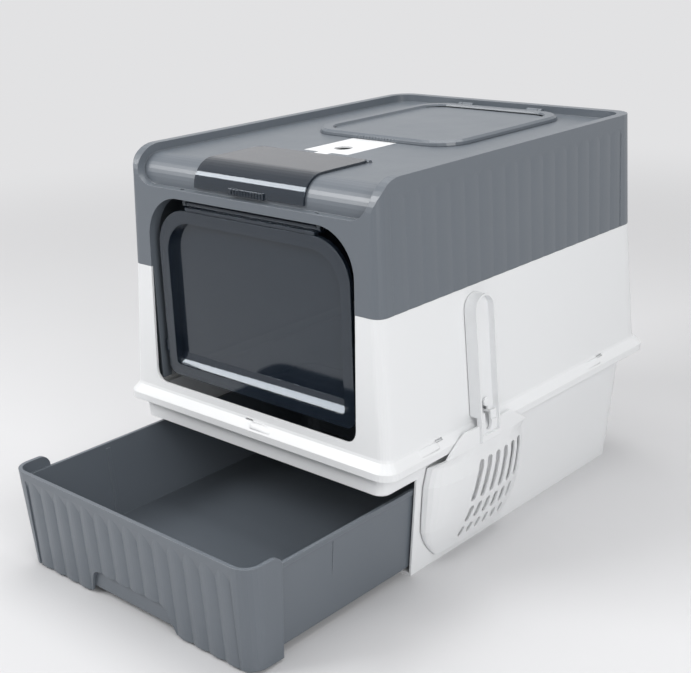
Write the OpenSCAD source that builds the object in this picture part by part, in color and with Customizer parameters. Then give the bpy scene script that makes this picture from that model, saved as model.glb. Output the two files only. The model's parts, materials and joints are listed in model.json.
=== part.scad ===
// Enclosed litter box with a pull-out drawer, a lift-out scoop and a hatch in the roof.
// Origin: middle of the footprint, on the floor. +Z up, the doorway faces -Y, the scoop hangs at +X.

/* [Overall] */
// Width over the flange between base and frame
body_w = 410; // [360:1:460]
// Depth over the flange
body_d = 520; // [470:1:580]
// Height of the hood's rim above the floor
body_h = 440; // [415:1:480]

/* [Walls] */
// Wall of the base and the frame
wall = 2.6; // [2:0.1:3.4]
// Wall of the hood
hood_wall = 3.4; // [2.6:0.1:4]
// Wall of the drawer and its front
drawer_wall = 2.6; // [2:0.1:3.2]
// Gap between parts that slide or lift off
slide_gap = 1; // [0.6:0.1:1.6]
// Gap between parts that seat on each other
seat_gap = 0.3; // [0.2:0.05:0.5]

/* [Base] */
// Height of the base under the flange
base_h = 141; // [130:1:155]
// How far the base wall leans in from the flange down to the floor
base_draft = 13; // [8:1:16]
// How far the base wall stands inside the flange's edge
base_set = 16; // [14:1:20]
// Extra set-back of the base's rear wall
rear_set = 8; // [0:1:14]
// Distance from the flange's front edge to the front edge of the base's side walls
bay_set = 66; // [58:1:80]
// Radius of the base's rear corners
base_r = 30; // [20:1:40]
// Thickness of the base's floor
floor_t = 3; // [2.6:0.1:4]
// Thickness of the rubber feet let into the base's underside
foot_h = 1.5; // [1:0.1:1.8]
// Diameter of the rubber feet
foot_d = 24; // [16:1:32]
// Height of the drawer rails above the base's floor
rail_h = 6.1; // [5:0.1:8]
// Width of a drawer rail
rail_w = 6; // [4:0.5:10]
// Distance of a drawer rail from the middle
rail_x = 110; // [80:1:130]

/* [Frame] */
// Height of the seam between frame and hood
seam_z = 306; // [290:1:320]
// Height of the flange's outer lip
lip_h = 9; // [7:0.5:12]
// Height of the whole flange, up to the wall
flange_h = 19; // [15:1:24]
// Width of a clip slot in the flange
clip_w = 12; // [8:0.5:16]
// How far the frame's wall stands inside the flange's edge
flange_reach = 8.6; // [7:0.1:12]
// Lean of the frame's side walls
frame_draft = 9; // [5:0.5:12]
// Lean of the frame's front and rear walls
frame_end_draft = 5.5; // [3:0.5:8]
// Radius of the front corners
front_r = 12; // [8:1:16]
// Radius of the rear corners
rear_r = 28; // [20:1:36]

/* [Hood] */
// Lean of the hood's side walls
hood_draft = 4; // [2:0.5:7]
// Radius of the roof's front edge
brow_r = 36; // [30:1:44]
// Depth of the roof below the rim
roof_drop = 9.5; // [7:0.5:12]
// Width of the rim round the roof
rim_w = 11; // [9:0.5:14]
// Height of the ledge where the roof's recess ends at the front
ledge_z = 400; // [396:1:404]
// Thickness of the roof
roof_t = 2.6; // [2:0.1:3.2]

/* [Flutes] */
// Width of one flute
flute_w = 24; // [18:1:30]
// Depth of the hood's and the frame's flutes
flute_d = 0.8; // [0.4:0.1:1.4]
// Height of the plain band over the hood's flutes
flute_top = 14; // [10:1:20]
// Width of one flute of the drawer front
front_flute_w = 23.3; // [18:0.1:28]
// Depth of the drawer front's flutes
front_flute_d = 2.2; // [1:0.1:3]

/* [Doorway] */
// Width of the doorway
door_w = 310; // [270:1:320]
// Height of the doorway's sill
sill_z = 169; // [165:1:175]
// Height of the doorway's top
arch_z = 390; // [380:1:393]
// Radius of the doorway's top corners
arch_r = 50; // [40:1:60]
// Depth of the lining round the doorway
lining_d = 13; // [8:1:18]

/* [Flap] */
// Gap between the flap and the doorway's sides
flap_gap = 10.5; // [6:0.5:14]
// Height of the flap's lower edge above the sill
flap_lift = 9; // [6:0.5:14]
// Thickness of the flap
flap_t = 2.6; // [2:0.1:3.2]
// Depth of the flap's tray
flap_depth = 12; // [8:0.5:16]
// Width of the flap's rim
flap_rim = 11; // [8:0.5:15]
// Diameter of the flap's hinge pin
flap_pin_d = 4; // [3:0.5:5]
// Height of the hinge pin below the doorway's top
flap_pin_drop = 6.5; // [6:0.25:8]

/* [Drawer] */
// How far the drawer stands open
drawer_open = 198; // [0:1:380]
// Height of the drawer's front
front_h = 114; // [100:1:114]
// Height of the drawer front's lower edge above the floor
front_lift = 3; // [2:0.5:6]
// Height of the drawer's walls
tray_h = 95; // [75:1:98]
// Radius of the drawer front's corners
front_corner_r = 20; // [12:1:26]
// Width of the finger notch at its top
notch_w = 122; // [90:1:150]
// Height of the finger notch
notch_h = 29; // [20:1:36]
// Thickness of the drawer's front
front_t = 4.4; // [3.4:0.1:5.4]
// How far the drawer's front leans in at its lower edge
front_lean = 6; // [3:0.5:9]

/* [Window] */
// Width of the window over the brow
window_w = 164; // [130:1:180]
// Thickness of a bearing ear beside the window
ear_t = 4.4; // [3:0.1:5]
// Distance from the flange's front edge to the window's hinge
window_hinge = 126; // [116:1:132]
// Thickness of the window
window_t = 2.5; // [2:0.1:3]
// Diameter of the window's hinge pin
window_pin_d = 2.4; // [2:0.1:3]
// Width of the thumb tab on the window's lower edge
tab_w = 52; // [36:1:70]
// Height of the filter cup under the window
cup_h = 24; // [18:1:28]
// Wall of the filter cup
cup_wall = 2; // [1.6:0.1:3]
// Distance between the vents in the cup's floor
vent_pitch = 13; // [11:0.5:15]
// Width of a vent
vent_w = 6; // [4:0.5:8]
// Thickness of the filter pad
pad_t = 8; // [5:0.5:12]

/* [Latch] */
// Width of the latch plate
latch_w = 66; // [50:1:80]
// Length of the latch plate
latch_l = 85; // [70:1:88]
// Distance from the window's hinge to the latch plate
latch_gap = 20; // [16:1:26]
// Width of the latch's tongue toward the window
tongue_w = 20; // [14:1:30]
// Wall of the latch plate
latch_t = 2.2; // [1.8:0.1:3]
// Wall of the latch's guide
guide_t = 2.2; // [1.8:0.1:3]
// Diameter of the guide's screw holes
screw_d = 2.4; // [2:0.1:3]
// Diameter of the bosses round the guide's screws
boss_d = 9; // [7:0.5:11]
// Diameter of the finger hole
finger_d = 21; // [18:1:26]
// Travel of the latch
latch_travel = 10; // [6:1:11]

/* [Hatch] */
// Width of the hatch lid
hatch_w = 214; // [180:1:240]
// Length of the hatch lid
hatch_l = 245; // [200:1:250]
// Diameter of the hatch's hinge pins
hatch_pin_d = 3; // [2.4:0.1:3.6]
// Distance of the hatch's bearing ears from the middle
hatch_ear_x = 62; // [50:1:70]
// Thickness of the hatch's bearing ears
hatch_ear_t = 5; // [4:0.5:7]
// Diameter of the hatch's ears and knuckles
knuckle_d = 7; // [6:0.1:8]
// Length of a hinge knuckle on the hatch lid
knuckle_l = 16; // [12:1:20]
// Height of the hatch lid's rim
hatch_h = 6; // [5:0.5:7]
// Width of the hatch lid's rim
hatch_rim = 15; // [12:1:20]
// Radius of the hatch lid's corners
hatch_r = 38; // [30:1:50]

/* [Scoop] */
// Width of the scoop's blade
scoop_w = 174; // [140:1:180]
// Depth of the scoop's blade at the handle
scoop_depth = 23; // [20:0.5:26]
// Thickness of the scoop
scoop_t = 2.4; // [2:0.1:3]
// Place of the scoop behind the doorway's face
scoop_y = -97; // [-110:1:-60]
// Width of the scoop's handle
handle_w = 34; // [28:1:40]
// Depth of the scoop's handle
handle_out = 15; // [12:0.5:18]
// Diameter of the scoop's hook
hook_d = 7; // [6:0.5:8]
// Height of the scoop's hook above the flange
hook_z = 16; // [14:0.5:20]
// Height of the handle's end above the floor
handle_top = 298; // [270:1:302]
// Lift that frees the scoop from its hook
scoop_lift = 4; // [3:0.5:6]

/* [Hidden] */

grey = "#727b86";
white = "#eef0f1";
smoke = [0.2, 0.22, 0.25, 0.6];
steel = "#b9bcc0";
black = "#26282b";

front_y = -body_d / 2;
rear_y = body_d / 2;
eps = 0.01;
corner_n = 6;
$fn = 48;

// Base
base_y0 = front_y + 11;
base_y1 = rear_y - base_set - rear_set;
base_x = body_w / 2 - base_set;
bay_y = front_y + bay_set;
rail_top = floor_t + rail_h;
rim_z = base_h + 6;

// Frame and hood
wall_z = base_h + flange_h;
frame_x0 = body_w / 2 - flange_reach;
frame_x1 = frame_x0 - frame_draft;
frame_y0 = body_d / 2 - flange_reach + 0.5;
frame_y1 = frame_y0 - frame_end_draft;
hood_top = body_h + 0.7;
hood_x0 = frame_x1;
hood_x1 = hood_x0 - hood_draft;
hood_y0 = frame_y1;
hood_y1 = hood_y0 - hood_draft;
roof_z = hood_top - roof_drop;
brow_y = -hood_y1 + brow_r - 0.6;
brow_z = hood_top - brow_r;
skirt_z = sill_z + seat_gap;
skirt_x = frame_x1 - wall - seat_gap;
skirt_y = frame_y1 - wall - seat_gap;
skirt_in = 11;
skirt_back = 5;

// Flap
flap_y = front_y + 20;
flap_x = door_w / 2 - flap_gap;
flap_z0 = sill_z + flap_lift;
pin_z = arch_z - flap_pin_drop;
flap_z1 = pin_z - 7;
flap_pin_y = flap_y + 8.2;
flap_r = arch_r - 4;
flap_low_r = 12;
bracket_x = door_w / 2 - arch_r - 4;
run_gap = 0.05;

// Drawer, in its shut place
front_y_shut = front_y + 18;
front_x = base_x - base_draft * (1 - (front_lift + front_h) / base_h);
tray_z = rail_top + seat_gap;
tray_top = tray_z + tray_h;
tray_rear = base_y1 - 12;
tray_r = front_corner_r - front_t;
tray_rear_r = 22;
band_h = 5.5;

// Window, latch and hatch
window_y = front_y + window_hinge;
latch_y0 = window_y + latch_gap;
latch_y1 = latch_y0 + latch_l;
finger_y = latch_y0 + 30.5;
hatch_y0 = latch_y1 - 1;
hatch_y1 = hatch_y0 + hatch_l;
hatch_pin_y = hatch_y1 + 4.5;
hatch_pin_z = roof_z + 4;
window_z = lerp(ledge_z, body_h, 0.1);
window_hole_z = lerp(ledge_z, body_h, 0.2);

// ---- Outlines and lofts ----

function lerp(a, b, t) = a + (b - a) * t;

function arc(cx, cy, r, a0, a1, n = corner_n) =
    [for (i = [0:n]) let(a = lerp(a0, a1, i / n)) [cx + r * cos(a), cy + r * sin(a)]];

// Rounded rectangle, counter-clockwise from the right rear corner
function frame_outline(x, y0, y1, rf, rr) = concat(
    arc(x - rr, y1 - rr, rr, 0, 90),
    arc(-x + rr, y1 - rr, rr, 90, 180),
    arc(-x + rf, y0 + rf, rf, 180, 270),
    arc(x - rf, y0 + rf, rf, 270, 360));

// Cutter that leaves a row of flutes on a wall: along X, the wall faces -Y, fading out at the top.
// It stands a hair outside the wall, so that each flute keeps a narrow flat crest.
module flute_cutter(length, height, pitch, depth, fade) {
    count = floor(length / pitch);
    half = count * pitch / 2;
    r = (pitch * pitch / 4 + depth * depth) / (2 * depth);
    translate([0, -0.05, 0]) intersection() {
        linear_extrude(height) difference() {
            translate([-half, -9]) square([2 * half, 9.5 + depth]);
            for (i = [0:count - 1]) translate([-half + (i + 0.5) * pitch, r]) circle(r, $fn = 240);
        }
        along_x(-half - 1, half + 1) polygon([[-10, -1], [depth + 1, -1], [depth + 1, height - fade - fade / depth],
            [0, height], [-10, height]]);
    }
}

// Solid through outlines that all have the same number of points, each with its own height
module loft(outlines, heights) {
    n = len(outlines[0]);
    levels = len(outlines);
    points = [for (k = [0:levels - 1]) for (p = outlines[k]) [p[0], p[1], heights[k]]];
    sides = [for (k = [0:levels - 2]) for (i = [0:n - 1]) let(j = (i + 1) % n, a = k * n, b = a + n)
        each [[a + i, b + i, b + j], [a + i, b + j, a + j]]];
    polyhedron(points, concat([[for (i = [0:n - 1]) i]], [[for (i = [n - 1:-1:0]) (levels - 1) * n + i]], sides));
}

// Flat rounded rectangle between two corners
// Flat rounded rectangle between two corners
module round_rect(x0, y0, x1, y1, r) {
    translate([x0 + r, y0]) square([x1 - x0 - 2 * r, y1 - y0]);
    translate([x0, y0 + r]) square([x1 - x0, y1 - y0 - 2 * r]);
    for (x = [x0 + r, x1 - r], y = [y0 + r, y1 - r]) translate([x, y]) circle(r);
}

// Arched plate outline: small radius at the bottom, large one at the top
module arch_shape(x, z0, z1, r0, r1) {
    translate([-x, z0 + r0]) square([2 * x, z1 - r1 - z0 - r0]);
    translate([-x + r0, z0]) square([2 * (x - r0), r0 + eps]);
    translate([-x + r1, z1 - r1 - eps]) square([2 * (x - r1), r1 + eps]);
    for (s = [-1, 1]) {
        translate([s * (x - r0), z0 + r0]) circle(r0);
        translate([s * (x - r1), z1 - r1]) circle(r1);
    }
}

// Extrude an outline drawn as x, z along Y from y0 to y1
module along_y(y0, y1) {
    translate([0, y1, 0]) rotate([90, 0, 0]) linear_extrude(y1 - y0) children();
}

// Extrude an outline drawn as y, z along X from x0 to x1
module along_x(x0, x1) {
    translate([x0, 0, 0]) rotate([90, 0, 90]) linear_extrude(x1 - x0) children();
}

module rod(x0, x1, y, z, d) {
    translate([x0, y, z]) rotate([0, 90, 0]) cylinder(d = d, h = x1 - x0);
}

// Block between two corners
module block(a, b) {
    translate(a) cube(b - a);
}

// ---- Base ----

function base_half(z) = base_x - base_draft * (1 - z / base_h);
function base_back(z) = base_y1 - rear_set * (1 - z / base_h);

module base_solid(inset, z0, z1) {
    loft([for (z = [z0, z1]) frame_outline(base_half(z) - inset, base_y0 + inset, base_back(z) - inset,
        front_r - inset, base_r - inset)], [z0, z1]);
}

foot_x = base_half(0) - 34;
foot_ys = [bay_y + 34, base_back(0) - 40];

module foot_places() {
    for (x = [-foot_x, foot_x], y = foot_ys) translate([x, y, 0]) children();
}

clip_ys = [front_y + 90, rear_y - 111];
clip_x = frame_x0 + 0.5;
clip_y = front_y + flange_reach;
hook_t = 2;

module base_shell() color(white) {
    difference() {
        union() {
            base_solid(0, 0, rim_z);
            translate([0, 0, rim_z - wall]) linear_extrude(wall) flange_shape(wall + 2 * seat_gap);
        }
        base_solid(wall, floor_t, rim_z + 1);
        block([-body_w, front_y - 1, -1], [body_w, bay_y, front_lift + front_h + slide_gap]);
        foot_places() translate([0, 0, -1]) cylinder(d = foot_d + 0.4, h = foot_h + 1);
    }
    for (s = [-1, 1]) {
        block([s * rail_x - rail_w / 2, bay_y + 4, floor_t - eps],
            [s * rail_x + rail_w / 2, base_back(0) - 20, rail_top]);
    }
    snap_hooks();
}

// Hooks that stand up through the flange's slots
module snap_hooks() {
    low = rim_z - wall;
    high = wall_z - 3;
    for (s = [-1, 1], y = clip_ys)
        block([s * clip_x - hook_t / 2, y - clip_w / 2 + 1, low],
            [s * clip_x + hook_t / 2, y + clip_w / 2 - 1, high]);
    block([-clip_w / 2 + 1, clip_y - hook_t / 2, low], [clip_w / 2 - 1, clip_y + hook_t / 2, high]);
}

// Room inside the flange's lip, less a gap
module flange_shape(inset) {
    round_rect(-body_w / 2 + inset, front_y + inset, body_w / 2 - inset, rear_y - inset, front_r + 2);
}

module rubber_feet() color(black)
    foot_places() cylinder(d = foot_d, h = foot_h);

// ---- Middle frame ----

// Outline of the flange, set in from its edge
function flange_outline(inset, r) =
    frame_outline(body_w / 2 - inset, front_y + inset, rear_y - inset, r, rear_r);

// Outline of the frame's wall, set in from its outside
function wall_outline(x, y, inset) = frame_outline(x - inset, -y + inset, y - inset, front_r - inset,
    rear_r - max(0, inset));

module middle_frame() color(white) {
    lip_top = base_h + lip_h;
    difference() {
        loft([
            flange_outline(0, front_r + 6),
            flange_outline(0, front_r + 6),
            flange_outline(1.5, front_r + 5),
            wall_outline(frame_x0, frame_y0, -1),
            wall_outline(frame_x0, frame_y0, 0),
            wall_outline(frame_x1, frame_y1, 0)],
            [base_h, lip_top - 1, lip_top + 1, wall_z - 2, wall_z + 1, seam_z]);
        // inside of the wall
        loft([
            wall_outline(frame_x0, frame_y0, wall),
            wall_outline(frame_x0, frame_y0, wall),
            wall_outline(frame_x1, frame_y1, wall)],
            [rim_z - eps, wall_z + 1, seam_z + eps]);
        // hollow of the lip
        translate([0, 0, base_h - eps]) linear_extrude(rim_z - base_h + eps)
            flange_shape(wall);
        // doorway
        along_y(front_y - 1, front_y + 40) arch_shape(door_w / 2 + 0.5, sill_z, hood_top, 15, 20);
        clip_slots();
        on_frame_wall() rod(-wall - 3, 4, 0, hook_z, hook_d + 2 * run_gap);
    }
}

// Slots in the flange for the base's snap hooks
module clip_slots() {
    half = hook_t / 2 + 0.8;
    low = rim_z - 1;
    high = wall_z - 1;
    for (s = [-1, 1], y = clip_ys)
        block([s * clip_x - half, y - clip_w / 2, low], [s * clip_x + half, y + clip_w / 2, high]);
    block([-clip_w / 2, clip_y - half, low], [clip_w / 2, clip_y + half, high]);
}

// ---- Hood ----

// Side view of the brow and roof, set in from the outer surface, as points y, z
function brow_line(inset) = arc(brow_y, brow_z, brow_r - inset, 180, 90, 10);

// Place of the brow's face at a height
function brow_face(inset, z) = brow_y - sqrt(pow(brow_r - inset, 2) - pow(max(0, z - brow_z), 2));

// The brow's side view above a height, with its point at that height
function brow_above(inset, z) = concat([[brow_face(inset, z), z]], [for (p = brow_line(inset)) if (p[1] > z) p]);

// Plain outside of the hood, before the flutes are cut
module hood_outer() {
    intersection() {
        loft([
            frame_outline(hood_x0, -hood_y0, hood_y0, front_r, rear_r),
            frame_outline(hood_x1, -hood_y1, hood_y1, front_r, rear_r)],
            [seam_z, hood_top]);
        along_x(-body_w, body_w) outer_side_view();
    }
}

// Cutters on both sides and the rear, leaning with the walls and ending under the rim
module hood_flutes() {
    rise = hood_top - seam_z;
    tall = rise - flute_top;
    lean = atan(hood_draft / rise);
    side_l = 2 * hood_y0 - front_r - rear_r - 12;
    rear_l = 2 * (hood_x0 - rear_r - 6);
    for (s = [-1, 1]) translate([s * hood_x0, (front_r - rear_r) / 2, seam_z])
        rotate([0, -s * lean, 0]) rotate(s * 90) translate([0, 0, -1])
            flute_cutter(side_l, tall, flute_w, flute_d, 8);
    translate([0, hood_y0, seam_z])
        rotate([lean, 0, 0]) rotate(180) translate([0, 0, -1]) flute_cutter(rear_l, tall, flute_w, flute_d, 8);
}

// Side view of the hood's outside: leaning front, rounded brow, flat rim
module outer_side_view() {
    polygon(concat([[-hood_y0 - 1, seam_z - 1]], brow_line(0), [[body_d, hood_top], [body_d, seam_z - 1]]));
}

// Side view of the room inside the hood
module inner_side_view() {
    under = ledge_z - roof_t - 2;
    polygon(concat([[-hood_y0 + hood_wall, skirt_z - 1], [-hood_y1 + hood_wall + 0.4, under]],
        brow_above(roof_drop + roof_t, under), [[hood_y1, roof_z - roof_t], [hood_y0, skirt_z - 1]]));
}

// Outline of the skirt inside the frame, set in by its lean and its wall
function skirt_outline(in_x, in_y, thick, cut) = frame_outline(skirt_x - in_x - thick, -skirt_y + in_y + thick,
    skirt_y - in_y - thick, front_r - cut, rear_r - cut);

module hood_inner() {
    intersection() {
        loft([
            skirt_outline(skirt_in, skirt_back, wall, 4),
            skirt_outline(0, 0, wall, 4),
            frame_outline(hood_x1 - hood_wall, -hood_y1 + hood_wall, hood_y1 - hood_wall,
                front_r - 4, rear_r - 4)],
            [skirt_z - 1, seam_z - 4, roof_z]);
        along_x(-body_w, body_w) inner_side_view();
    }
}

// Space over the roof, between the rims and down to the ledge over the doorway
module roof_recess() {
    x = hood_x1 - rim_w;
    intersection() {
        difference() {
            along_x(-x, x) translate([-body_d, ledge_z - 5]) square([2 * body_d, body_h]);
            along_x(-x - 1, x + 1) polygon(concat(brow_above(roof_drop, ledge_z - 6),
                [[body_d + 1, roof_z], [body_d + 1, ledge_z - 6]]));
        }
        translate([0, 0, ledge_z - 20]) linear_extrude(body_h)
            round_rect(-x, -body_d, x, hood_y1 - rim_w, rear_r - 6);
        along_y(-body_d, body_d) round_rect(-x, ledge_z, x, hood_top + 60, 24);
    }
}

hatch_in = hatch_rim - 2.5;

module hood() color(grey) difference() {
    hood_plain();
    hood_flutes();
}

module hood_plain() {
    difference() {
        union() {
            difference() {
                union() {
                    hood_outer();
                    loft([
                        skirt_outline(skirt_in, skirt_back, 0, 2),
                        skirt_outline(0, 0, 0, 2)],
                        [skirt_z, seam_z + eps]);
                }
                hood_inner();
                roof_recess();
            }
            door_lining();
            window_ears();
            cup_cheeks();
            hatch_ears();
        }
        // doorway through front wall and skirt
        along_y(front_y - 1, front_y + 60) arch_shape(door_w / 2, skirt_z - 40, arch_z, 12, arch_r);
        // window hole
        block([-window_w / 2 + 3.5, cup_y0 - 1, window_hole_z], [window_w / 2 - 3.5, window_y + 3.6, hood_top]);
        rod(-window_w / 2 - 4, window_w / 2 + 4, window_y, window_pin_z, window_pin_d + 2 * run_gap);
        // latch opening and its tongue channel
        block([-latch_w / 2 - seat_gap, guide_y0, roof_z - 9], [latch_w / 2 + seat_gap, guide_y1, hood_top]);
        block([-tongue_w / 2 - seat_gap, window_y + 3, roof_z - 9],
            [tongue_w / 2 + seat_gap, latch_y0 + 1, hood_top]);
        // hatch opening
        translate([0, 0, roof_z - 9]) linear_extrude(hood_top - roof_z) plug_outline(0);
        rod(-hatch_w / 2, hatch_w / 2, hatch_pin_y, hatch_pin_z, hatch_pin_d + 2 * run_gap);
        // clip slots of the flap's brackets, in the ledge
        for (s = [-1, 1])
            block([s * bracket_x - 3, front_y + 21, arch_z - 1],
                [s * bracket_x + 3, front_y + 24.5, ledge_z + 1]);
        // screw holes under the latch
        screw_places() cylinder(d = screw_d, h = screw_l + 0.2);
    }
}

// Lining that stands back from the doorway's edge
module door_lining() {
    along_y(front_y + 17, front_y + 17 + lining_d) difference() {
        arch_shape(door_w / 2 + wall, skirt_z, arch_z + wall, 2, arch_r + wall);
        arch_shape(door_w / 2, skirt_z - 20, arch_z, 2, arch_r);
    }
}

window_pin_z = roof_z + window_t + seat_gap - 3;
ear_x = window_w / 2 - 1;

// Two bearing ears beside the window's hinge
module window_ears() {
    for (s = [-1, 1]) translate([s * ear_x, 0, 0]) {
        rod(-ear_t / 2, ear_t / 2, window_y, window_pin_z, 6);
        block([-ear_t / 2, window_y - 3, roof_z - roof_t], [ear_t / 2, window_y + 3, window_pin_z]);
    }
}

cup_x = window_w / 2 - 4;
cup_y0 = window_y - 87;
cup_y1 = window_y - 8;
cup_z = roof_z - cup_h;
cheek_t = 2.4;

// Cheeks that carry the filter cup
module cup_cheeks() {
    for (s = [-1, 1]) mirror([s < 0 ? 1 : 0, 0, 0]) {
        intersection() {
            union() {
                block([cup_x + 0.5, cup_y0, cup_z - cheek_t], [cup_x + 0.5 + cheek_t, cup_y1, roof_z - 1]);
                block([cup_x - 5, cup_y0 + 4, cup_z - cheek_t], [cup_x + 1, cup_y1, cup_z]);
            }
            along_x(0, body_w)
                polygon(concat(brow_above(roof_drop + 1, cup_z - 9), [[0, roof_z - 1], [0, cup_z - 9]]));
        }
    }
}

// Bearing ears of the hatch
module hatch_ears() {
    for (s = [-1, 1]) translate([s * hatch_ear_x, 0, 0]) {
        rod(-hatch_ear_t / 2, hatch_ear_t / 2, hatch_pin_y, hatch_pin_z, knuckle_d);
        block([-hatch_ear_t / 2, hatch_pin_y - knuckle_d / 2, roof_z - roof_t],
            [hatch_ear_t / 2, hatch_pin_y + knuckle_d / 2, hatch_pin_z]);
    }
}

// ---- Flap ----

module flap_shape(inset) {
    arch_shape(flap_x - inset, flap_z0 + inset, flap_z1 - inset, flap_low_r - inset / 2, flap_r - inset / 2);
}

module flap_door() color(smoke) {
    // rim
    along_y(flap_y, flap_y + flap_t) difference() {
        flap_shape(0);
        flap_shape(flap_rim + 1);
    }
    // bead along the outer edge
    along_y(flap_y, flap_y + 5) difference() {
        flap_shape(0);
        flap_shape(2);
    }
    // wall of the tray
    along_y(flap_y, flap_y + flap_depth) difference() {
        flap_shape(flap_rim);
        flap_shape(flap_rim + flap_t);
    }
    // panel
    along_y(flap_y + flap_depth - flap_t, flap_y + flap_depth) flap_shape(flap_rim + 0.5);
    // catch tab at the free side
    block([-flap_x - 4, flap_y, flap_z0 + 26], [-flap_x + 1, flap_y + 4, flap_z0 + 40]);
}

module flap_hinge_rail() color(smoke) {
    x = bracket_x - 3.5;
    difference() {
        union() {
            rod(-x, x, flap_pin_y, pin_z, flap_pin_d + 4.4);
            block([-x, flap_y + 1.2, flap_z1], [x, flap_pin_y, pin_z - 3]);
        }
        rod(-x - 1, x + 1, flap_pin_y, pin_z, flap_pin_d + 2 * run_gap);
    }
}

module flap_hinge_pin() color(steel)
    rod(-bracket_x - 2, bracket_x + 2, flap_pin_y, pin_z, flap_pin_d);

module door_bracket() {
    difference() {
        union() {
            rod(-2.5, 2.5, flap_pin_y, pin_z, flap_pin_d + 5);
            block([-2.5, flap_pin_y - 4.5, pin_z], [2.5, flap_pin_y + 4.5, arch_z]);
            block([-2.5, front_y + 21.4, arch_z - eps], [2.5, front_y + 24.1, ledge_z]);
        }
        rod(-3, 3, flap_pin_y, pin_z, flap_pin_d + 2 * run_gap);
    }
}

module door_bracket_left() color(smoke) translate([-bracket_x, 0, 0]) door_bracket();
module door_bracket_right() color(smoke) translate([bracket_x, 0, 0]) door_bracket();

// ---- Window over the brow ----

// Band that lies over the roof and brow, as points y, z
module window_band(from, thick) {
    inner = brow_above(roof_drop - from, window_z);
    polygon(concat(brow_above(roof_drop - from - thick, window_z),
        [[window_y, roof_z + from + thick], [window_y, roof_z + from]],
        [for (i = [len(inner) - 1:-1:0]) inner[i]]));
}

tab_rib_pitch = 4.4;

module window_cover() color(smoke) {
    half = window_w / 2;
    face = brow_face(roof_drop - seat_gap - window_t, window_z);
    difference() {
        union() {
            along_x(-half, half) window_band(seat_gap, window_t);
            rod(-half + 4, half - 4, window_y, window_pin_z, 6);
            // thumb tab with grip ribs on the lower edge
            block([-tab_w / 2, face - 1.6, window_z - 1], [tab_w / 2, face + window_t - 1, window_hole_z + 2]);
            for (i = [-5:5]) translate([i * tab_rib_pitch, 0, 0])
                block([-0.8, face - 2.6, window_z - 0.4], [0.8, face + window_t - 2, window_hole_z + 1.4]);
        }
        rod(-half, half, window_y, window_pin_z, window_pin_d + 2 * run_gap);
        // rear corners, clear of the ears
        for (s = [-1, 1]) translate([s * ear_x, 0, 0])
            block([-ear_t / 2 - slide_gap, window_y - 4.2, roof_z - 8],
                [ear_t / 2 + slide_gap, window_y + 9, hood_top]);
    }
}

module window_hinge_pin() color(steel)
    rod(-window_w / 2 - 1, window_w / 2 + 1, window_y, window_pin_z, window_pin_d);

module filter_cup() color(grey) {
    under = roof_drop + roof_t + 1.5;
    inside_y = max(cup_y0 + 1, brow_face(under, 0)) + cup_wall;
    difference() {
        intersection() {
            block([-cup_x, cup_y0 + 1, cup_z], [cup_x, cup_y1, roof_z]);
            along_x(-cup_x, cup_x)
                polygon(concat(brow_above(under, cup_z - 9), [[0, hood_top - under], [0, cup_z - 9]]));
        }
        block([-cup_x + cup_wall, inside_y, cup_z + cup_wall],
            [cup_x - cup_wall, cup_y1 - cup_wall, roof_z + 1]);
        // vents through the cup's floor
        for (i = [-5:5]) translate([i * vent_pitch, 0, 0])
            block([-vent_w / 2, cup_y0 + 18, cup_z - 1], [vent_w / 2, cup_y1 - 10, cup_z + cup_wall + 1]);
    }
}

module charcoal_pad() color(black)
    block([-cup_x + cup_wall + 1, cup_y0 + 14, cup_z + cup_wall],
        [cup_x - cup_wall - 1, cup_y1 - cup_wall - 1, cup_z + cup_wall + pad_t]);

// ---- Latch in the roof ----

latch_flange = 4;
latch_z0 = roof_z - roof_t - 2;

module roof_latch() color(white) {
    top = roof_z - 0.2;
    x = latch_w / 2;
    difference() {
        union() {
            block([-x, latch_y0, latch_z0], [x, latch_y1, top]);
            block([-tongue_w / 2, window_y + 3.4, roof_z - roof_t + seat_gap],
                [tongue_w / 2, latch_y0 + 1, top]);
            block([-x - latch_flange, latch_y0, latch_z0],
                [x + latch_flange, latch_y1, roof_z - roof_t - seat_gap]);
        }
        // hollow under the plate
        block([-x + latch_t, latch_y0 + latch_t, latch_z0 - 1],
            [x - latch_t, latch_y1 - latch_t, top - latch_t]);
        translate([0, finger_y, roof_z - 10]) cylinder(d = finger_d, h = 20);
    }
}

guide_x = latch_w / 2 + latch_flange + seat_gap;
guide_y0 = latch_y0 - seat_gap;
guide_y1 = latch_y1 + latch_travel + seat_gap;
guide_z = latch_z0 - seat_gap;
screw_l = roof_z - guide_z + guide_t - 0.8;

module screw_places() {
    for (x = [-guide_x - boss_d / 2 - 0.5, guide_x + boss_d / 2 + 0.5], y = [guide_y0 + 8, guide_y1 - 14])
        translate([x, y, guide_z - guide_t]) children();
}

module latch_guide() color(grey) {
    difference() {
        union() {
            block([-guide_x - 2, guide_y0 - 2, guide_z - guide_t], [guide_x + 2, guide_y1 + 2, roof_z - roof_t]);
            screw_places() cylinder(d = boss_d, h = roof_z - roof_t - guide_z + guide_t);
        }
        block([-guide_x, guide_y0, guide_z], [guide_x, guide_y1, roof_z]);
        block([-finger_d / 2 - 1, finger_y - finger_d / 2 - 1, guide_z - 9],
            [finger_d / 2 + 1, finger_y + finger_d / 2 + 1 + latch_travel, guide_z + 1]);
        screw_places() translate([0, 0, -1]) cylinder(d = screw_d, h = screw_l + 1);
    }
}

module guide_screws() color(steel)
    screw_places() {
        translate([0, 0, -1.6]) cylinder(d = 5, h = 1.6);
        translate([0, 0, -eps]) cylinder(d = screw_d - 0.1, h = screw_l);
    }

// ---- Hatch ----

grip_pitch = 4.6;

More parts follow.
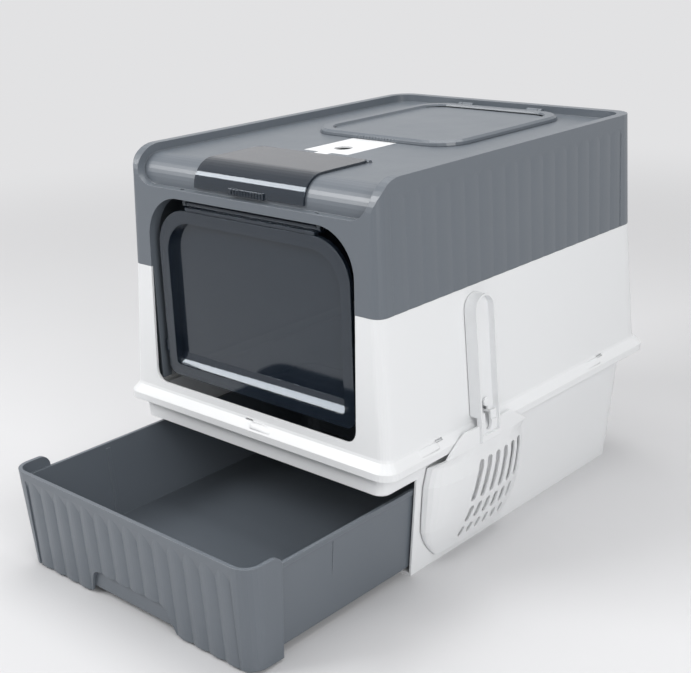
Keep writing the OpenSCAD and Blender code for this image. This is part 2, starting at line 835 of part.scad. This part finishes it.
module hatch_lid() color(grey) {
    x = hatch_w / 2;
    z0 = roof_z + seat_gap;
    z1 = z0 + hatch_h;
    difference() {
        union() {
            loft([lid_outline(0, hatch_r), lid_outline(0.5, hatch_r), lid_outline(3.5, hatch_r - 2)],
                [z0, z1 - 2.5, z1]);
            // plug that seats in the roof
            translate([0, 0, z0 - 6]) linear_extrude(6 + eps) difference() {
                plug_outline(slide_gap);
                plug_outline(slide_gap + 2.2);
            }
            // grip ribs on the front edge
            for (i = [-6:6]) translate([i * grip_pitch, 0, 0])
                block([-0.9, hatch_y0 - 0.6, z0 + 0.6], [0.9, hatch_y0 + 2, z1 - 2.6]);
            // hinge knuckles
            for (s = [-1, 1]) translate([s * (hatch_ear_x - hatch_ear_t / 2 - 1 - knuckle_l / 2), 0, 0]) {
                rod(-knuckle_l / 2, knuckle_l / 2, hatch_pin_y, hatch_pin_z, knuckle_d);
                block([-knuckle_l / 2, hatch_y1 - 4, hatch_pin_z - 1.5],
                    [knuckle_l / 2, hatch_pin_y, hatch_pin_z + 1.5]);
            }
        }
        // sunk panel
        loft([lid_outline(hatch_rim, hatch_r - 11), lid_outline(hatch_rim - 1.5, hatch_r - 10)],
            [z1 - 3.2, z1 + eps]);
        rod(-x, x, hatch_pin_y, hatch_pin_z, hatch_pin_d + 2 * run_gap);
        // hollow under the rim
        translate([0, 0, z0 - 1]) linear_extrude(hatch_h - 1.6) difference() {
            round_rect(-x + 3, hatch_y0 + 3, x - 3, hatch_y1 - 3, hatch_r - 3);
            plug_outline(slide_gap - 0.2);
        }
    }
}

// Outline of the lid, set in from its edge
function lid_outline(inset, r) = frame_outline(hatch_w / 2 - inset, hatch_y0 + inset, hatch_y1 - inset, r, r);

// Outline of the roof's hatch opening, set in by a gap
module plug_outline(inset) {
    in_x = hatch_in + inset;
    in_y = hatch_in + 5 + inset;
    round_rect(-hatch_w / 2 + in_x, hatch_y0 + in_y, hatch_w / 2 - in_x, hatch_y1 - in_y, hatch_r - 9 - inset);
}

module hatch_hinge_pins() color(steel)
    for (s = [-1, 1]) mirror([s < 0 ? 1 : 0, 0, 0])
        rod(hatch_ear_x - hatch_ear_t / 2 - knuckle_l - 0.5, hatch_ear_x + hatch_ear_t / 2, hatch_pin_y, hatch_pin_z,
            hatch_pin_d);

// ---- Drawer ----

function tray_half(z) = base_half(z) - wall - 2.6;
function tray_back(z) = tray_rear - 6 * (1 - (z - tray_z) / tray_h);
function tray_front(z) = front_y_shut + front_lean * (1 - (z - front_lift) / front_h) + front_t;

module tray_solid(inset, z0, z1) {
    loft([for (z = [z0, z1]) frame_outline(tray_half(z) - inset, tray_front(z) + inset, tray_back(z) - inset,
        tray_r - inset / 2, tray_rear_r - inset / 2)], [z0, z1]);
}

module drawer_tray() color(grey) translate([0, -drawer_open, 0]) {
    difference() {
        union() {
            tray_solid(0, tray_z, tray_top);
            // rim band
            loft([for (z = [tray_top - band_h, tray_top]) frame_outline(tray_half(z) + 1.2, tray_front(z),
                tray_back(z) + 1.2, tray_r, tray_rear_r)], [tray_top - band_h, tray_top]);
        }
        tray_solid(drawer_wall, tray_z + drawer_wall, tray_top + 1);
        // groove down each side
        for (s = [-1, 1]) translate([s * base_x, bay_y + 75, 0])
            block([-13, -1, tray_z + 2], [13, 1, tray_top - 8]);
    }
    // ribs behind the grooves
    for (s = [-1, 1]) intersection() {
        difference() {
            translate([s * base_x, bay_y + 75, 0]) block([-30, -3, tray_z + 1], [30, 3, tray_top - 6]);
            tray_solid(drawer_wall + 0.8, tray_z, tray_top + 1);
        }
        tray_solid(0.8, tray_z, tray_top);
    }
}

// Plan of the drawer front: square at the rear, round front corners
function front_plan(x, y, r, rear) =
    concat([[x, rear], [-x, rear]], arc(-x + r, y + r, r, 180, 270), arc(x - r, y + r, r, 270, 360));

module front_solid(inset, z0, z1, rear) {
    lean = front_lean / front_h;
    loft([for (z = [z0, z1]) let(back = lean * (front_lift + front_h - z))
        front_plan(front_x - back - inset, front_y_shut + back + inset, front_corner_r - inset, rear)],
            [z0, z1]);
}

module drawer_front() color(grey) translate([0, -drawer_open, 0]) {
    ear_r = 12;
    ear_y = bay_y - slide_gap;
    z0 = front_lift;
    z1 = front_lift + front_h;
    difference() {
        front_solid(0, z0, z1, ear_y);
        front_solid(front_t, z0 - 1, z1 + 1, ear_y + 10);
        translate([0, front_y_shut + front_lean, z0])
            rotate([atan(front_lean / front_h), 0, 0]) translate([0, 0, -1])
            flute_cutter(2 * (front_x - front_corner_r), front_h - 7, front_flute_w, front_flute_d, 14);
        // finger notch in the lower edge
        along_y(front_y_shut - 20, front_y_shut + 30) notch_shape();
        // rounded rear ends of the ears
        along_x(-body_w, body_w) translate([ear_y - ear_r, z1 - ear_r]) difference() {
            square([20, 20]);
            circle(ear_r);
        }
    }
}

module notch_shape() {
    r = 10;
    w = notch_w / 2;
    z0 = front_lift - 1;
    z1 = front_lift + notch_h;
    polygon(concat([[-w - 8, z0]], arc(-w + r, z1 - r, r, 165, 90),
        arc(w - r, z1 - r, r, 90, 15), [[w + 8, z0]]));
}

// ---- Scoop ----

blade_z0 = 12;
blade_z1 = wall_z - 3;
shoulder_z0 = base_h - 15;
shoulder_z1 = base_h - 1 - scoop_lift;
crank_x = body_w / 2 + slide_gap;
crown_z = 105;
blade_n = 18;
blade_rows = concat([for (k = [0:7]) lerp(blade_z0, shoulder_z0, pow(k / 7, 1.3))],
    [for (k = [0:3]) lerp(shoulder_z1, blade_z1, k / 3)]);

// Half the blade's width at a height
function blade_half(z) = scoop_w / 2 * (z < 60 ? sin(lerp(44, 90, (z - blade_z0) / (60 - blade_z0)))
    : z < 112 ? 1 : cos(lerp(0, 62, (z - 112) / (blade_z1 - 112))));

// Outer face of the blade at its edge: along the base's wall, then out round the flange
function blade_edge(z) = scoop_t + lerp(base_half(z) + slide_gap, crank_x,
    min(1, max(0, z - shoulder_z0) / (shoulder_z1 - shoulder_z0)));

// Outer face of the blade along its middle
function blade_crown(z) = base_half(min(z, crown_z)) + slide_gap
    + scoop_depth * (z > crown_z ? 1 : lerp(0.3, 1, sin(90 * (z - blade_z0) / (crown_z - blade_z0))));
function blade_x(t, z) = lerp(blade_edge(z), blade_crown(z), pow(1 - pow(abs(t), 3), 0.5));

// Shell of the blade: outer skin and the same skin set in, closed round the edge
module blade_shell() {
    cols = blade_n + 1;
    rows = len(blade_rows);
    function at(i, k, back) = let(t = -cos(180 * i / blade_n), z = blade_rows[k])
        [blade_x(t, z) - back, scoop_y + blade_half(z) * t, z];
    skin = [for (back = [0, scoop_t]) for (k = [0:rows - 1]) for (i = [0:blade_n]) at(i, k, back)];
    m = rows * cols;
    outer = [for (k = [0:rows - 2]) for (i = [0:blade_n - 1]) let(a = k * cols + i)
        each [[a, a + cols, a + cols + 1], [a, a + cols + 1, a + 1]]];
    inner = [for (f = outer) [m + f[2], m + f[1], m + f[0]]];
    border = concat([for (i = [0:blade_n]) i], [for (k = [1:rows - 1]) k * cols + blade_n],
        [for (i = [blade_n - 1:-1:0]) (rows - 1) * cols + i], [for (k = [rows - 2:-1:1]) k * cols]);
    edge = [for (i = [0:len(border) - 1]) let(a = border[i], b = border[(i + 1) % len(border)])
        each [[a, b, b + m], [a, b + m, a + m]]];
    polyhedron(skin, concat(outer, inner, edge));
}

// One slot of the blade, standing upright and leaning by an angle
module blade_slot(y, z, length, width, lean) {
    translate([y, z]) rotate(lean) {
        translate([-width / 2, -length / 2 + width / 2]) square([width, length - width]);
        for (s = [-1, 1]) translate([0, s * (length - width) / 2]) circle(width / 2);
    }
}

module blade_slots() {
    for (i = [0:5]) {
        blade_slot(scoop_y - 16 + i * 16, 92, 50, 8.5, -10 + i * 2);
        blade_slot(scoop_y - 20 + i * 15.5, 51, 20, 8, -18 + i * 3);
        blade_slot(scoop_y - 26 + i * 15, 29, 13, 7, -22 + i * 4);
    }
}

frame_lean = atan(frame_draft / (seam_z - wall_z - 1));
web_x = 5;

// Place on the frame's right wall: X out of its outer face, Z up from the flange
module on_frame_wall() {
    translate([frame_x0, scoop_y, wall_z + 1]) rotate([0, -frame_lean, 0]) children();
}

// Face of the handle, drawn as y, z, with a round top end
module handle_outline(inset, z0) {
    r = handle_w / 2 - inset;
    z1 = handle_top - wall_z - handle_w / 2;
    translate([-r, z0]) square([2 * r, z1 - z0]);
    translate([0, z1]) circle(r);
}

module scoop() color(white) difference() {
    union() {
        difference() {
            blade_shell();
            along_x(base_half(0) - 10, body_w) blade_slots();
        }
        difference() {
            on_frame_wall() difference() {
                along_x(slide_gap, handle_out + slide_gap) handle_outline(0, shoulder_z1 - wall_z);
                along_x(slide_gap + web_x + scoop_t, body_w) handle_outline(scoop_t, 6);
                along_x(slide_gap - 1, slide_gap + web_x) handle_outline(scoop_t, 6);
                // lower end of the channel, round the flange
                along_x(crank_x + scoop_t - frame_x0, body_w)
                    translate([scoop_t - handle_w / 2, shoulder_z1 + 7 - wall_z])
                        square([handle_w - 2 * scoop_t, wall_z - shoulder_z1]);
            }
            // room for the flange
            block([0, -body_d, 0], [crank_x, body_d, wall_z + 3 + scoop_lift / 2]);
        }
    }
    // hanging slot
    on_frame_wall() translate([0, 0, hook_z + hook_d / 2 + run_gap]) along_x(0, body_w)
        blade_slot(0, -17, 34, hook_d + 3, 0);
}

module scoop_hook() color(white) on_frame_wall() {
    x = slide_gap + web_x + scoop_t + 1;
    rod(-wall - 2, x + 2, 0, hook_z, hook_d);
    rod(-wall - 2, -wall, 0, hook_z, hook_d + 4);
    rod(x, x + 2, 0, hook_z + 2, hook_d + 2);
}

base_shell();
rubber_feet();
middle_frame();
hood();
door_bracket_left();
door_bracket_right();
flap_hinge_pin();
flap_hinge_rail();
flap_door();
window_cover();
window_hinge_pin();
filter_cup();
charcoal_pad();
roof_latch();
latch_guide();
guide_screws();
hatch_lid();
hatch_hinge_pins();
drawer_tray();
drawer_front();
scoop_hook();
scoop();
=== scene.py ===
# Drawer litter box: finishes, felt pad, flap slope, clip lugs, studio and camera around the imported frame
import json
import math
import bmesh
import bpy
from mathutils import Matrix, Vector


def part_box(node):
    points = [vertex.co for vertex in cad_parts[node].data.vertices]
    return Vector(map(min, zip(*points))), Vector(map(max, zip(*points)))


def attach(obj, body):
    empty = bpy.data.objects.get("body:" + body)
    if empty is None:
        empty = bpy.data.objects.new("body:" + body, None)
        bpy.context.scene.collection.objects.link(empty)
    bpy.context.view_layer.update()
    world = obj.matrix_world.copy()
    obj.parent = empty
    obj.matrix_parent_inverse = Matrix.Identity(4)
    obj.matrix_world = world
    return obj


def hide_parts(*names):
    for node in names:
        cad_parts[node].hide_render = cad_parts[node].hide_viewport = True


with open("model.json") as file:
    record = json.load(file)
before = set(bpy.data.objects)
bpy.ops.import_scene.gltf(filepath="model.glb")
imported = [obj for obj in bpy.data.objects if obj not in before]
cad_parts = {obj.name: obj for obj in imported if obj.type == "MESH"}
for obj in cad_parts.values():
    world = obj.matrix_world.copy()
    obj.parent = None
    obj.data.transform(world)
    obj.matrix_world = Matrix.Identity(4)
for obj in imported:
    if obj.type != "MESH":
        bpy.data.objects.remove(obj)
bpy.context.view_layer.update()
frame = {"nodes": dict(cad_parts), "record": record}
print("frame loaded:", len(frame["nodes"]), "nodes")


class Link:  # a socket that can stand in sums
    def __init__(self, tree, socket):
        self.tree = tree
        self.socket = socket

    def maths(self, operation, first, second):
        return self.tree.add("ShaderNodeMath", {"operation": operation}, {0: first, 1: second})

    def __add__(self, other):
        return self.maths("ADD", self, other)

    def __sub__(self, other):
        return self.maths("SUBTRACT", self, other)

    def __rsub__(self, other):
        return self.maths("SUBTRACT", other, self)

    def __mul__(self, other):
        return self.maths("MULTIPLY", self, other)

    __radd__ = __add__
    __rmul__ = __mul__


class Tree:  # the nodes of one material, or of the world
    def __init__(self, name, family="materials"):
        self.owner = getattr(bpy.data, family).new(name)
        self.owner.use_nodes = True
        self.owner.node_tree.nodes.clear()

    def add(self, kind, settings=None, inputs=None, output=0):
        node = self.owner.node_tree.nodes.new(kind)
        for key, value in (settings or {}).items():
            if key == "stops":
                for stop, (place, shade) in zip(node.color_ramp.elements, value):
                    stop.position = place
                    stop.color = (shade, shade, shade, 1)
            else:
                setattr(node, key, value)
        for key, value in (inputs or {}).items():
            if isinstance(value, Link):
                self.owner.node_tree.links.new(value.socket, node.inputs[key])
            elif value is not None:
                node.inputs[key].default_value = value
        return Link(self, node.outputs[output]) if node.outputs else None

    def seen(self):  # 1 where the eye or a mirror meets the background, 0 for the light on the box
        camera = self.add("ShaderNodeLightPath", output="Is Camera Ray")
        mirror = self.add("ShaderNodeLightPath", output="Is Glossy Ray")
        return camera + mirror

    def place(self, stretch=(1, 1, 1)):  # metres on the object, stretched for streaks
        coords = self.add("ShaderNodeTexCoord", output="Object")
        return self.add("ShaderNodeVectorMath", {"operation": "MULTIPLY"}, {0: coords, 1: stretch})

    def noise(self, scale, detail, stretch=(1, 1, 1)):
        return self.add("ShaderNodeTexNoise", {},
                        {"Vector": self.place(stretch), "Scale": scale, "Detail": detail})

    def ramp(self, value, low, high):  # 0 below low, 1 above high
        return self.add("ShaderNodeValToRGB", {"stops": [(low, 0), (high, 1)]}, {"Fac": value})

    def roundEdge(self, radius):
        return self.add("ShaderNodeBevel", {"samples": 4}, {"Radius": radius})

    def bump(self, strength, distance, height, normal=None):
        return self.add("ShaderNodeBump", {},
                        {"Strength": strength, "Distance": distance, "Height": height, "Normal": normal})

    def blend(self, mask, first, second):  # colours, by a mask from 0 to 1
        return self.add("ShaderNodeMix", {"data_type": "RGBA"},
                        {"Factor": mask, 6: (*first, 1), 7: (*second, 1)}, output=2)

    def surface(self, values):
        shader = self.add("ShaderNodeBsdfPrincipled", {}, values)
        self.add("ShaderNodeOutputMaterial", {}, {"Surface": shader})
        return self.owner


# Moulded plastic: fine grain, slow changes of gloss, rounded edges that catch the light, and a painted
# highlight that lightens the colour along the edges
mould = {"broad": 7, "patch": 0.15, "flow": 22, "flowRun": 0.35, "flowGloss": 0.10,
         "scuff": 160, "scuffRun": 0.12, "scuffStops": (0.62, 0.8), "scuffGloss": 0.05,
         "edge": 0.0009, "edgeHighlightGain": 5, "edgeHighlight": 0.9, "relief": 0.35}
# the pale second colour serves both the random paler patches and the painted edge highlight
whiteMould = {**mould, "name": "whiteMould", "colour": (0.78, 0.79, 0.80), "paleToneAndHighlight": (0.83, 0.84, 0.845),
              "gloss": 0.34, "grain": 1400, "depth": 0.00004, "specular": 0.45}
greyMould = {**mould, "name": "greyMould", "colour": (0.118, 0.136, 0.158), "paleToneAndHighlight": (0.21, 0.23, 0.255),
             "gloss": 0.30, "grain": 1100, "depth": 0.00005, "specular": 0.65}


def mouldedPlastic(spec):
    tree = Tree(spec["name"])
    broad = tree.noise(spec["broad"], 3)
    flow = tree.noise(spec["flow"], 2, (1, 1, spec["flowRun"]))  # the melt's flow marks run upwards
    grain = tree.noise(spec["grain"], 2)
    scuffs = tree.ramp(tree.noise(spec["scuff"], 4, (1, 1, spec["scuffRun"])), *spec["scuffStops"])
    edge = tree.roundEdge(spec["edge"])
    flat = tree.add("ShaderNodeNewGeometry", output="Normal")
    facing = tree.add("ShaderNodeVectorMath", {"operation": "DOT_PRODUCT"}, {0: edge, 1: flat},
                      output="Value")
    # painted highlight: the colour is lightened towards the pale tone where the rounded-edge normal leans
    # away from the flat face
    edgeHighlight = tree.add("ShaderNodeMath", {"operation": "MINIMUM"}, {0: (1 - facing) * spec["edgeHighlightGain"], 1: 1.0})
    toneAndHighlight = (broad - 0.5) * spec["patch"] + edgeHighlight * spec["edgeHighlight"]
    return tree.surface({
        "Base Color": tree.blend(toneAndHighlight, spec["colour"], spec["paleToneAndHighlight"]),
        "Roughness": flow * spec["flowGloss"] + scuffs * spec["scuffGloss"] + spec["gloss"],
        "Specular IOR Level": spec["specular"],
        "Normal": tree.bump(spec["relief"], spec["depth"], grain, edge)})


# Clear smoked plastic: dark, polished, with faint dust and fine wiping marks
smokedMould = {"name": "smokedMould", "colour": (0.012, 0.018, 0.028), "sheen": (0.74, 0.87, 1.0),
               "clear": 0.77, "bend": 1.52, "gloss": 0.045, "coat": 0.6, "coatGloss": 0.03,
               "dust": (0.09, 0.10, 0.12), "dustScale": 90, "dustStops": (0.55, 1.0),
               "dustShade": 0.12, "dustVeil": 0.04,
               "wipe": 30, "wipeRun": 0.2, "wipeGloss": 0.05,
               "edge": 0.0007, "relief": 0.05, "depth": 0.0004}


def smokedPlastic(spec):
    tree = Tree(spec["name"])
    dust = tree.ramp(tree.noise(spec["dustScale"], 2), *spec["dustStops"])
    wipes = tree.noise(spec["wipe"], 3, (1, 1, spec["wipeRun"]))
    return tree.surface({
        "Base Color": tree.blend(dust * spec["dustShade"], spec["colour"], spec["dust"]),
        "Roughness": wipes * spec["wipeGloss"] + spec["gloss"],
        "Alpha": dust * spec["dustVeil"] + spec["clear"],
        "IOR": spec["bend"],
        "Coat Weight": spec["coat"],
        "Coat Roughness": spec["coatGloss"],
        "Specular Tint": (*spec["sheen"], 1),
        "Normal": tree.bump(spec["relief"], spec["depth"], wipes, tree.roundEdge(spec["edge"]))})


# Drawn steel wire and screw heads
drawnSteel = {"name": "drawnSteel", "colour": (0.50, 0.50, 0.52), "dark": (0.34, 0.34, 0.36), "gloss": 0.24,
              "lines": 900, "linesRun": 0.03, "linesGloss": 0.2, "relief": 0.2, "depth": 0.00003}


def steelWire(spec):
    tree = Tree(spec["name"])
    lines = tree.noise(spec["lines"], 2, (spec["linesRun"], 1, 1))
    return tree.surface({
        "Base Color": tree.blend(lines, spec["dark"], spec["colour"]),
        "Metallic": 1.0,
        "Roughness": lines * spec["linesGloss"] + spec["gloss"],
        "Normal": tree.bump(spec["relief"], spec["depth"], lines)})


# Soft rubber of the feet
footRubber = {"name": "footRubber", "colour": (0.022, 0.022, 0.024), "gloss": 0.72,
              "dust": (0.07, 0.068, 0.065), "dustScale": 260, "dustShade": 0.5, "dustGloss": 0.2,
              "grain": 700, "relief": 0.3, "depth": 0.0001}


def mattRubber(spec):
    tree = Tree(spec["name"])
    dust = tree.noise(spec["dustScale"], 4)
    return tree.surface({
        "Base Color": tree.blend(dust * spec["dustShade"], spec["colour"], spec["dust"]),
        "Roughness": dust * spec["dustGloss"] + spec["gloss"],
        "Normal": tree.bump(spec["relief"], spec["depth"], tree.noise(spec["grain"], 3))})


# Carbon felt of the filter pad
carbonFelt = {"name": "carbonFelt", "colour": (0.010, 0.010, 0.011), "gloss": 0.86,
              "fibre": (0.075, 0.075, 0.08), "fibreScale": 800, "fibreRun": 0.18,
              "fibreStops": (0.42, 0.62), "fibreGloss": 0.1,
              "relief": 0.8, "depth": 0.0006}


def feltFibre(spec):
    tree = Tree(spec["name"])
    scale, run = spec["fibreScale"], spec["fibreRun"]
    cross = tree.noise(scale, 4, (1, run, 1)) * 0.5 + tree.noise(scale, 4, (run, 1, 1)) * 0.5
    fibre = tree.ramp(cross, *spec["fibreStops"])
    return tree.surface({
        "Base Color": tree.blend(fibre, spec["colour"], spec["fibre"]),
        "Roughness": fibre * spec["fibreGloss"] + spec["gloss"],
        "Normal": tree.bump(spec["relief"], spec["depth"], cross)})


white = mouldedPlastic(whiteMould)
grey = mouldedPlastic(greyMould)
smoked = smokedPlastic(smokedMould)
steel = steelWire(drawnSteel)
rubber = mattRubber(footRubber)
felt = feltFibre(carbonFelt)
slotFinish = {"white_plastic": white, "grey_plastic": grey, "smoked_plastic": smoked, "steel": steel,
              "rubber": rubber, "carbon_felt": felt}
print("finishes made:", len(slotFinish))


def dressNodes():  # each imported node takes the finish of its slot
    slots = {row["node"]: row["material_slot"] for row in frame["record"]["subparts"]}
    for name, node in frame["nodes"].items():
        node.data.materials.clear()
        node.data.materials.append(slotFinish[slots[name]])


dressNodes()
print("nodes dressed")


def makePiece(name, mesh, finish, sharp):  # turns a bmesh into an object, smooth up to the sharp angle
    data = bpy.data.meshes.new(name)
    mesh.to_mesh(data)
    mesh.free()
    data.set_sharp_from_angle(angle=math.radians(sharp))
    data.materials.append(finish)
    piece = bpy.data.objects.new(name, data)
    bpy.context.collection.objects.link(piece)
    return piece


def joinRows(mesh, grid):  # faces between the rows of a grid of vertices
    for lower, upper in zip(grid, grid[1:]):
        for column in range(len(lower) - 1):
            mesh.faces.new((lower[column], lower[column + 1], upper[column + 1], upper[column]))


def closeMesh(mesh):
    bmesh.ops.holes_fill(mesh, edges=[edge for edge in mesh.edges if edge.is_boundary], sides=0)
    bmesh.ops.recalc_face_normals(mesh, faces=mesh.faces)


# Filter pad: a quilted block of felt with soft edges, in the cup under the window
padSpec = {"cells": (48, 20, 4), "round": 0.0022, "quilt": 0.0005, "quiltPitch": 0.0125, "face": 0.4,
           "sharp": 180}


def feltPad(spec):
    low, high = (Vector(corner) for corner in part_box("charcoal_pad"))
    size = high - low
    middle = (low + high) / 2
    mesh = bmesh.new()
    bmesh.ops.create_cube(mesh, size=1)
    for axis, cells in enumerate(spec["cells"]):
        along = [edge for edge in mesh.edges
                 if abs((edge.verts[0].co - edge.verts[1].co).normalized()[axis]) > 0.99]
        bmesh.ops.subdivide_edges(mesh, edges=along, cuts=cells - 1, use_grid_fill=True)
    flatHalf = size / 2 - Vector((spec["round"],) * 3)
    for vert in mesh.verts:
        spot = Vector(vert.co[axis] * size[axis] for axis in range(3))
        inner = Vector(max(-flatHalf[axis], min(flatHalf[axis], spot[axis])) for axis in range(3))
        away = spot - inner
        if away.length > 0:
            spot = inner + away.normalized() * spec["round"]
        if abs(spot.z) > size.z * spec["face"]:  # the two large faces are quilted
            wave = math.prod(math.cos(2 * math.pi * spot[axis] / spec["quiltPitch"]) for axis in (0, 1))
            spot.z -= math.copysign(spec["quilt"] * (0.5 + 0.5 * wave), spot.z)
        vert.co = spot + middle
    pad = makePiece("feltPad", mesh, felt, spec["sharp"])
    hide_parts("charcoal_pad")
    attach(pad, "housing")


feltPad(padSpec)
print("felt pad made")


# Flap: the hollow fillet at the foot of its tray, from the rim's inside down to the panel
slopeSpec = {"rim": 0.0138, "front": 0.0016, "panel": 0.0094, "rise": 0.013, "corner": 0.005, "hollow": 1.5,
             "sunk": 0.0004, "rows": 14, "columns": 40, "sharp": 35}


def flapSlope(spec):
    low, high = (Vector(corner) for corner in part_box("flap_door"))
    half, bottom, deep = high.x - spec["rim"], low.z + spec["rim"], low.y + spec["panel"]
    corner = spec["corner"]
    mesh = bmesh.new()
    grid = []
    for row in range(spec["rows"] + 1):
        t = row / spec["rows"]
        up = t * spec["rise"]
        short = corner - math.sqrt(max(0, corner ** 2 - max(0, corner - up) ** 2))  # round lower corners
        depth = (spec["panel"] - spec["front"]) * (1 - t) ** spec["hollow"]
        shares = (2 * column / spec["columns"] - 1 for column in range(spec["columns"] + 1))
        grid.append([mesh.verts.new((share * (half - short), deep - depth, bottom + up)) for share in shares])
    joinRows(mesh, grid)
    rim = grid[0] + [line[-1] for line in grid[1:-1]] + grid[-1][::-1] + [line[0] for line in grid[-2:0:-1]]
    foot = [mesh.verts.new((vert.co.x, deep + spec["sunk"], vert.co.z)) for vert in rim]
    joinRows(mesh, [rim + rim[:1], foot + foot[:1]])  # walls all round, set into the panel
    closeMesh(mesh)
    slope = makePiece("flapSlope", mesh, smoked, spec["sharp"])
    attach(slope, "flap")


flapSlope(slopeSpec)
print("flap slope made")


# Clip lugs: low ramps on the flange's slope that end at its clip slots
lugSpec = {"length": 0.034, "high": 0.0026, "sunk": 0.0006, "fall": 1.6, "crown": 0.6,
           "rows": 12, "columns": 10, "sharp": 40, "slots": (-0.170, 0.149), "slotHalf": 0.0066,
           "sideLow": (0.2038, 0.1510), "sideTop": (0.1980, 0.1575),
           "frontLow": (-0.2588, 0.1510), "frontTop": (-0.2530, 0.1575)}


def lugGrid(mesh, spec, low, top, along):  # one lug, from its end at the slot out along the flange
    slope = top - low
    out = slope.cross(along).normalized()
    if out.z < 0:
        out.negate()
    grid = []
    for row in range(spec["rows"] + 1):
        t = row / spec["rows"]
        line = []
        for column in range(spec["columns"] + 1):
            turn = math.pi * column / spec["columns"]
            rise = spec["high"] * (1 - t ** spec["fall"]) * math.sin(turn) ** spec["crown"] - spec["sunk"]
            across = slope * (0.5 - 0.5 * math.cos(turn))
            line.append(mesh.verts.new(low + across + along * spec["length"] * t + out * rise))
        grid.append(line)
    joinRows(mesh, grid)


def clipLugs(spec):
    mesh = bmesh.new()
    for side in (-1, 1):
        for slot in spec["slots"]:
            low, top = (Vector((side * x, slot - spec["slotHalf"], z))
                        for x, z in (spec["sideLow"], spec["sideTop"]))
            lugGrid(mesh, spec, low, top, Vector((0, -1, 0)))
    low, top = (Vector((spec["slotHalf"], y, z)) for y, z in (spec["frontLow"], spec["frontTop"]))
    lugGrid(mesh, spec, low, top, Vector((1, 0, 0)))
    closeMesh(mesh)
    lugs = makePiece("clipLugs", mesh, white, spec["sharp"])
    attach(lugs, "housing")


clipLugs(lugSpec)
print("clip lugs made")


# Pale floor: it keeps the shadow near the box and passes into the plain background further out
floorSpec = {"half": 20.0, "colour": (0.66, 0.66, 0.67), "mottle": 3, "mottleShade": 0.985, "gloss": 0.75,
             "mottleGloss": 0.05, "specular": 0.2, "background": (0.76, 0.76, 0.77), "near": 0.75, "far": 2.4}


def paleFloor(spec):
    tree = Tree("paleFloor")
    mottle = tree.noise(spec["mottle"], 3)
    dim = tuple(spec["mottleShade"] * part for part in spec["colour"])
    matt = tree.add("ShaderNodeBsdfPrincipled", {}, {
        "Base Color": tree.blend(mottle, dim, spec["colour"]),
        "Roughness": mottle * spec["mottleGloss"] + spec["gloss"],
        "Specular IOR Level": spec["specular"]})
    plain = tree.add("ShaderNodeEmission", {}, {"Color": (*spec["background"], 1), "Strength": 1.0})
    reach = tree.add("ShaderNodeVectorMath", {"operation": "LENGTH"}, {0: tree.place()}, output="Value")
    away = tree.add("ShaderNodeMapRange", {"interpolation_type": "SMOOTHSTEP"},
                    {"Value": reach, "From Min": spec["near"], "From Max": spec["far"]})
    both = tree.add("ShaderNodeMixShader", {}, {0: away * tree.seen(), 1: matt, 2: plain})
    tree.add("ShaderNodeOutputMaterial", {}, {"Surface": both})
    half = spec["half"]
    corners = [(-half, -half, 0), (half, -half, 0), (half, half, 0), (-half, half, 0)]
    data = bpy.data.meshes.new("paleFloor")
    data.from_pydata(corners, [], [(0, 1, 2, 3)])
    data.materials.append(tree.owner)
    floor = bpy.data.objects.new("paleFloor", data)
    bpy.context.collection.objects.link(floor)


# Soft boxes: name, place, point looked at, width and height in metres, power in watts
lampSpec = [("keyBox", (-1.5, -1.9, 1.9), (0, -0.05, 0.25), 1.6, 1.0, 48),
            ("sideBox", (2.1, -1.0, 1.2), (0.1, -0.1, 0.22), 1.3, 1.3, 28),
            ("topBox", (-0.1, 0.4, 2.4), (0, 0, 0.3), 2.2, 1.6, 33)]
skySpec = {"colour": (1.0, 1.0, 1.0), "strength": 0.36}


def studioLight(lamps):
    for name, place, target, width, height, power in lamps:
        light = bpy.data.lights.new(name, "AREA")
        light.shape = "RECTANGLE"
        light.size, light.size_y, light.energy = width, height, power
        lamp = bpy.data.objects.new(name, light)
        lamp.location = place
        lamp.rotation_euler = (Vector(target) - Vector(place)).to_track_quat("-Z", "Y").to_euler()
        bpy.context.collection.objects.link(lamp)


def studioSky(spec, background):  # lights the box evenly, and shows as the plain background
    tree = Tree("studioSky", "worlds")
    light = tree.add("ShaderNodeBackground", {},
                     {"Color": (*spec["colour"], 1), "Strength": spec["strength"]})
    plain = tree.add("ShaderNodeBackground", {}, {"Color": (*background, 1)})
    both = tree.add("ShaderNodeMixShader", {}, {0: tree.seen(), 1: light, 2: plain})
    tree.add("ShaderNodeOutputWorld", {}, {"Surface": both})
    bpy.context.scene.world = tree.owner


paleFloor(floorSpec)
studioLight(lampSpec)
studioSky(skySpec, floorSpec["background"])
print("studio lit")


# Camera: place in metres, turn about Z, tilt and roll in degrees, lens and frame width in millimetres
viewSpec = {"place": (0.91634, -1.08919, 0.67508), "turn": 42.58, "tilt": -18.97, "roll": -2.15,
            "lens": 63.46, "frameWidth": 36}


def lookAtBox(spec):
    turn, tilt, roll = (math.radians(spec[key]) for key in ("turn", "tilt", "roll"))
    ahead = Vector((-math.sin(turn) * math.cos(tilt), math.cos(turn) * math.cos(tilt), math.sin(tilt)))
    level = ahead.cross(Vector((0, 0, 1))).normalized()
    rise = level.cross(ahead)
    right = level * math.cos(roll) + rise * math.sin(roll)
    up = rise * math.cos(roll) - level * math.sin(roll)
    lens = bpy.data.cameras.new("boxCamera")
    lens.sensor_fit = "HORIZONTAL"
    lens.sensor_width = spec["frameWidth"]
    lens.lens = spec["lens"]
    camera = bpy.data.objects.new("boxCamera", lens)
    facing = Matrix((right, up, -ahead)).transposed().to_4x4()
    camera.matrix_world = Matrix.Translation(spec["place"]) @ facing
    bpy.context.collection.objects.link(camera)
    bpy.context.scene.camera = camera


lookAtBox(viewSpec)
bpy.context.scene.view_settings.view_transform = "Standard"

print("scene ready")
